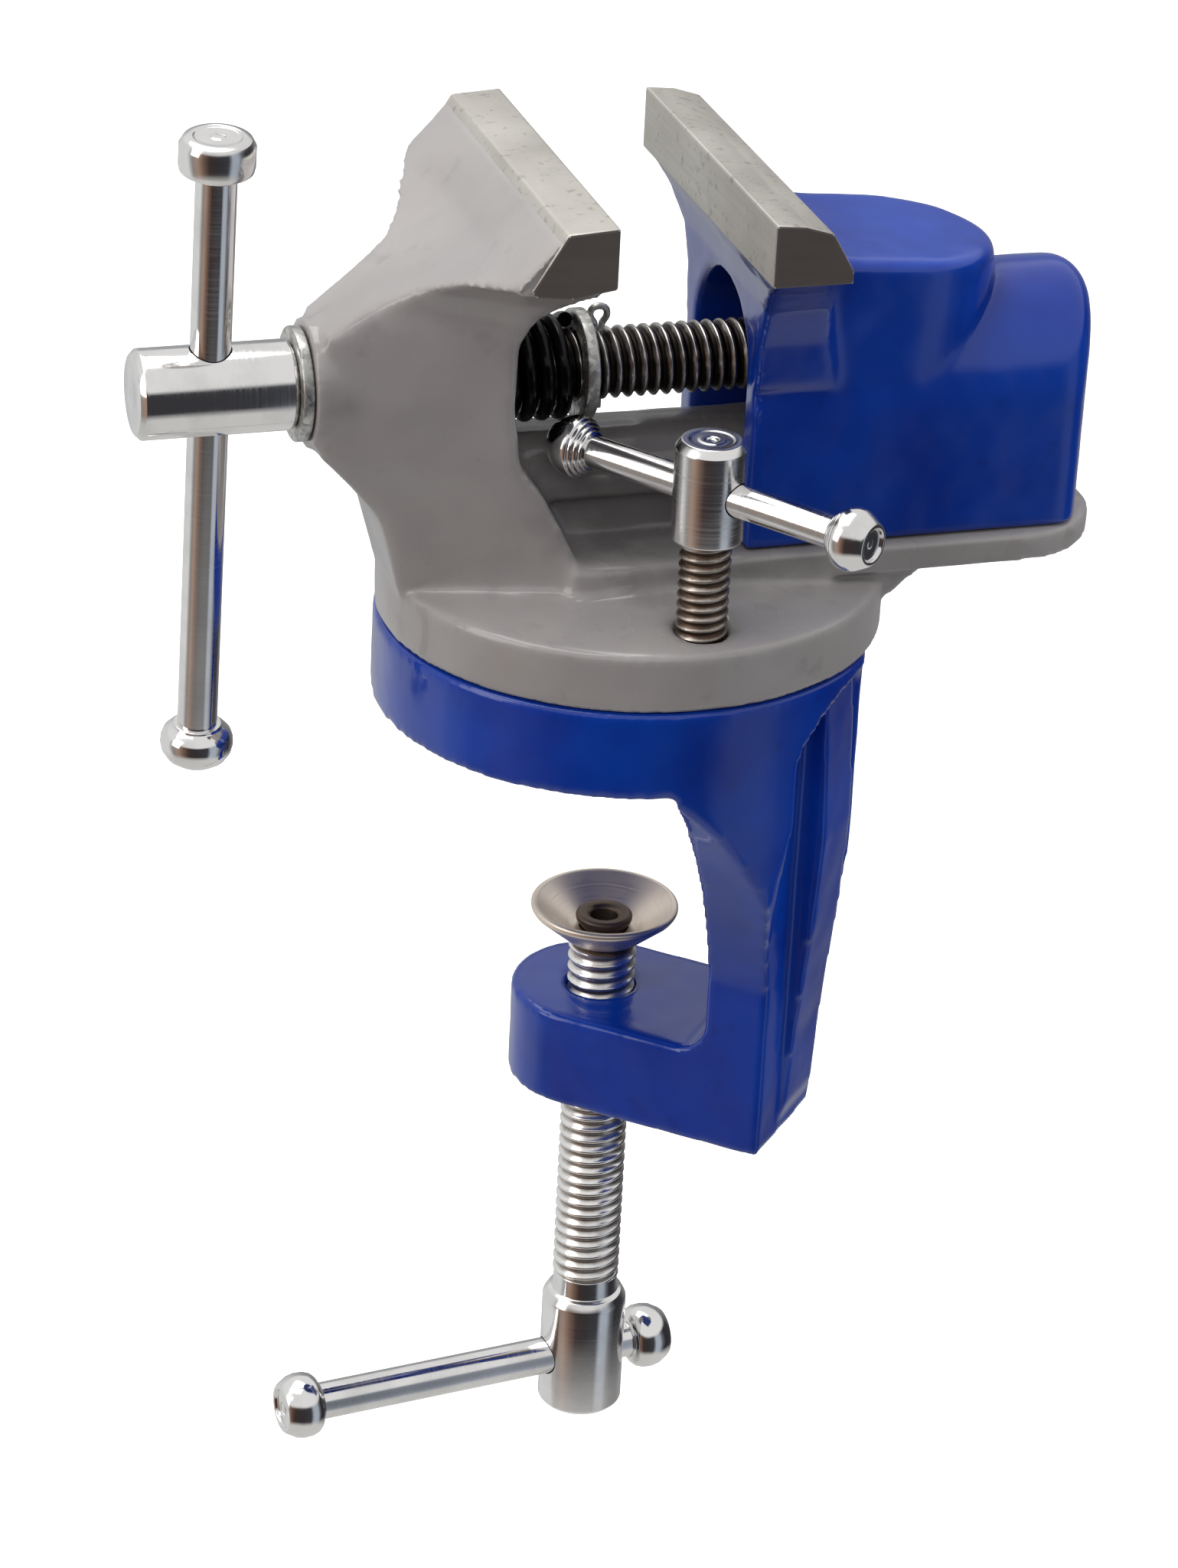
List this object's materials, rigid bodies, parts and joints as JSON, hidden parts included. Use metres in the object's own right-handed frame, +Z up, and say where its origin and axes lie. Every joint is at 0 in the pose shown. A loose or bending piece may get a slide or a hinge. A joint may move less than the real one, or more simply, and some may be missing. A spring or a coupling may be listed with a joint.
{
  "type": "bench vise",
  "caption": "Small table vise with a swivel disc, a screw-driven sliding jaw on a rail, a lock screw and a C-shaped table clamp with a cupped screw.",
  "frame": {"origin": "swivel axis, at the underside of the seat ring that rests on the table", "axes": "+X along the lead screw from the fixed jaw to the moving jaw, +Z up along the swivel axis"},
  "size_m": [0.1193, 0.0756, 0.1807],
  "materials": {
    "blue_enamel": "glossy royal-blue stove enamel over cast iron",
    "grey_enamel": "satin warm-grey enamel over cast iron",
    "ground_iron": "surface-ground bare iron",
    "bright_steel": "bright plated turned steel",
    "zinc_plate": "dull zinc-plated pressed steel",
    "galvanised": "galvanised mild steel",
    "black_spring": "black oiled spring steel"
  },
  "bodies": {
    "frame": {"clamp_frame": "blue_enamel"},
    "vise": {"vise_body": "grey_enamel", "fixed_jaw_lip": "ground_iron", "pivot_bolt": "zinc_plate", "pivot_washer": "zinc_plate"},
    "jaw": {"moving_jaw": "blue_enamel", "moving_jaw_lip": "ground_iron"},
    "lead_screw": {"lead_screw": "bright_steel", "front_washer": "galvanised", "jaw_spring": "black_spring", "spring_washer": "galvanised", "split_pin": "galvanised"},
    "lead_bar": {"lead_bar": "bright_steel", "lead_bar_knob": "bright_steel", "lead_bar_button": "bright_steel"},
    "lock_screw": {"lock_screw": "bright_steel"},
    "lock_bar": {"lock_bar": "bright_steel", "lock_bar_knob_left": "bright_steel", "lock_bar_knob_right": "bright_steel"},
    "clamp_pad": {"clamp_pad": "zinc_plate"},
    "clamp_screw": {"clamp_screw": "bright_steel"},
    "clamp_bar": {"clamp_bar": "bright_steel", "clamp_bar_knob_left": "bright_steel", "clamp_bar_knob_right": "bright_steel"}
  },
  "joints": [
    {"name": "swivel", "type": "hinge", "parent": "frame", "child": "vise", "pos_m": [0, 0, 0], "axis": [0, 0, 1], "continuous": true},
    {"name": "lead_turn", "type": "hinge", "parent": "vise", "child": "lead_screw", "pos_m": [0, 0, 0.0434], "axis": [1, 0, 0], "range_deg": [-4275, 3105]},
    {"name": "jaw_slide", "type": "slide", "parent": "vise", "child": "jaw", "axis": [1, 0, 0], "range_m": [-0.01385, 0.01905]},
    {"name": "lead_bar_slide", "type": "slide", "parent": "lead_screw", "child": "lead_bar", "axis": [0, -0.0958, 0.9954], "range_m": [-0.0219, 0.0397]},
    {"name": "lock_turn", "type": "hinge", "parent": "vise", "child": "lock_screw", "pos_m": [0.0012, -0.0243, 0.03], "axis": [0, 0, 1], "range_deg": [0, 12]},
    {"name": "lock_bar_slide", "type": "slide", "parent": "lock_screw", "child": "lock_bar", "axis": [0.5906, -0.807, 0], "range_m": [0, 0.0124]},
    {"name": "clamp_advance", "type": "slide", "parent": "frame", "child": "clamp_pad", "axis": [0, 0, 1], "range_m": [-0.00625, 0.02945]},
    {"name": "clamp_turn", "type": "hinge", "parent": "clamp_pad", "child": "clamp_screw", "pos_m": [-0.00064, 0.00056, -0.06], "axis": [0, 0, 1], "range_deg": [-1395, 6615]},
    {"name": "clamp_bar_slide", "type": "slide", "parent": "clamp_screw", "child": "clamp_bar", "axis": [0.9925, 0.1219, 0], "range_m": [-0.0007, 0.0312]}
  ],
  "couplings": [
    {"joint": "jaw_slide", "follows": "lead_turn", "m_per_rad": -0.00025465},
    {"joint": "clamp_advance", "follows": "clamp_turn", "m_per_rad": 0.00025465}
  ]
}
